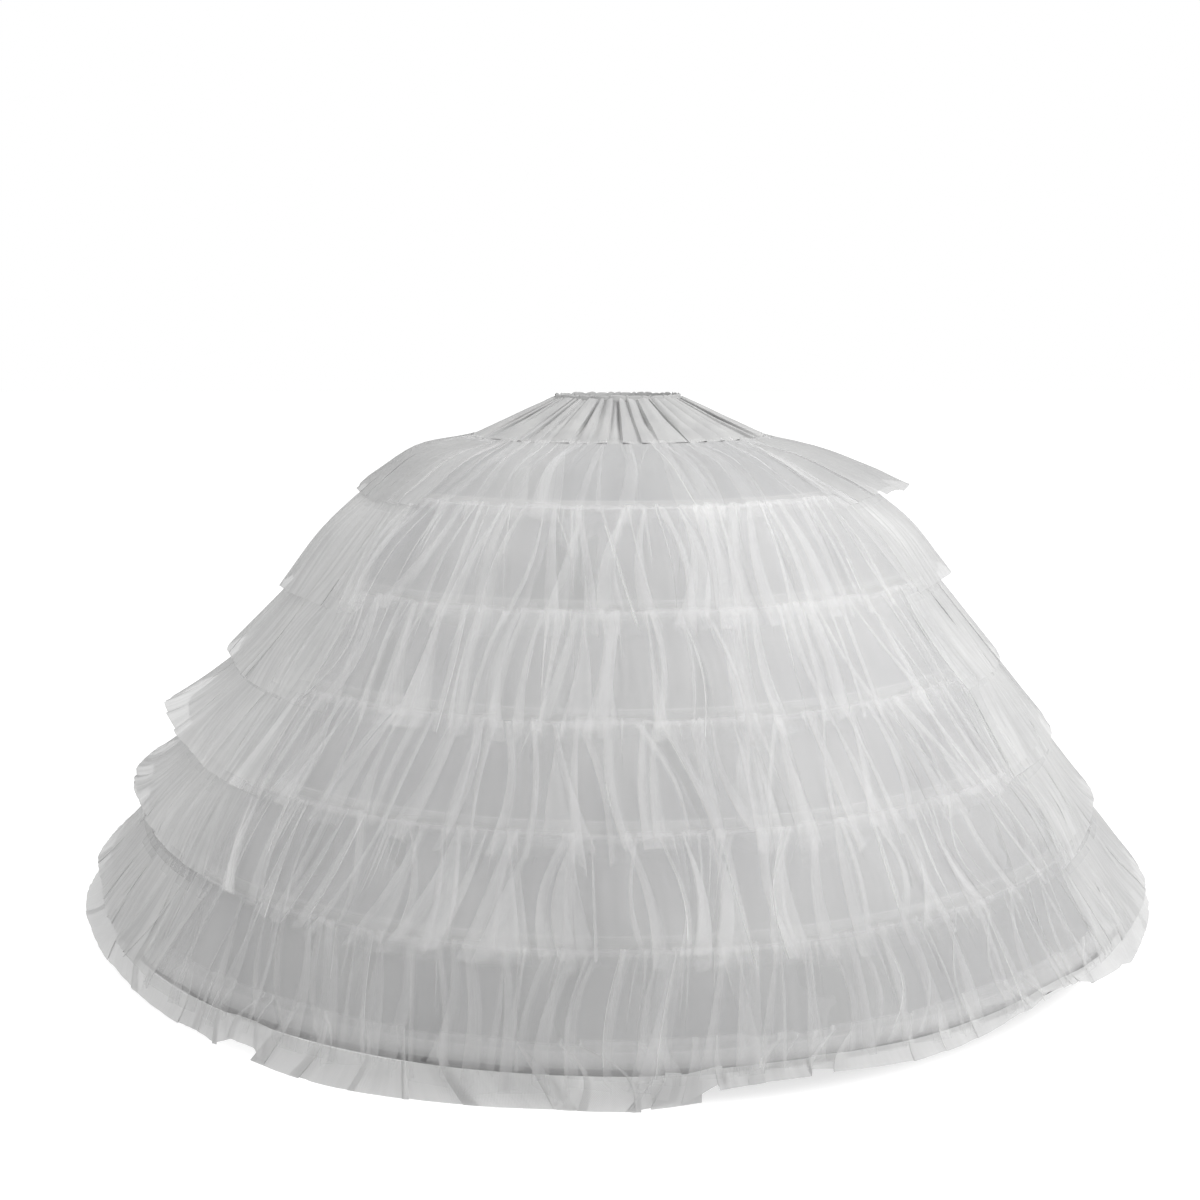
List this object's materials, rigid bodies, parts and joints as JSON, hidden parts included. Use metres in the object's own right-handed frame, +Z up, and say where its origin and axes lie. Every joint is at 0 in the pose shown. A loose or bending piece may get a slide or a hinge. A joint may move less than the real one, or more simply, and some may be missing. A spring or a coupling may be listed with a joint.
{
  "type": "hoop petticoat",
  "caption": "Wide tiered hoop petticoat: gathered elastic waist, flared lining spread by closed hoops in casings, and overlapping net ruffles. It holds out the skirt of a gown.",
  "frame": {"origin": "centre of the waist opening, half way up the waistband", "axes": "+Z up along the skirt's axis; -Y is the front and +Y the centre back, where the hoops are joined"},
  "size_m": [1.8861, 1.8928, 0.868],
  "materials": {
    "waist_cloth": "gathered plain cloth",
    "elastic": "woven elastic",
    "lining": "smooth plain-woven lining",
    "casing_tape": "woven tape",
    "coated_steel": "white coated spring strip",
    "joiner_metal": "plain zinc sleeve",
    "net": "sheer stiff net"
  },
  "bodies": {
    "root": {"waistband": "waist_cloth", "yoke": "waist_cloth", "waist_elastic": "elastic", "lining_tier_1": "lining", "lining_tier_2": "lining", "lining_tier_3": "lining", "lining_tier_4": "lining", "lining_tier_5": "lining", "lining_tier_6": "lining", "hoop_casing_1": "casing_tape", "hoop_casing_2": "casing_tape", "hoop_casing_3": "casing_tape", "hoop_casing_4": "casing_tape", "hoop_casing_5": "casing_tape", "hoop_casing_6": "casing_tape", "hoop_1": "coated_steel", "hoop_2": "coated_steel", "hoop_3": "coated_steel", "hoop_4": "coated_steel", "hoop_5": "coated_steel", "hoop_6": "coated_steel", "hoop_joiner_1": "joiner_metal", "hoop_joiner_2": "joiner_metal", "hoop_joiner_3": "joiner_metal", "hoop_joiner_4": "joiner_metal", "hoop_joiner_5": "joiner_metal", "hoop_joiner_6": "joiner_metal", "ruffle_1": "net", "ruffle_2": "net", "ruffle_3": "net", "ruffle_4": "net", "ruffle_5": "net", "ruffle_6": "net", "ruffle_7": "net"}
  },
  "joints": []
}
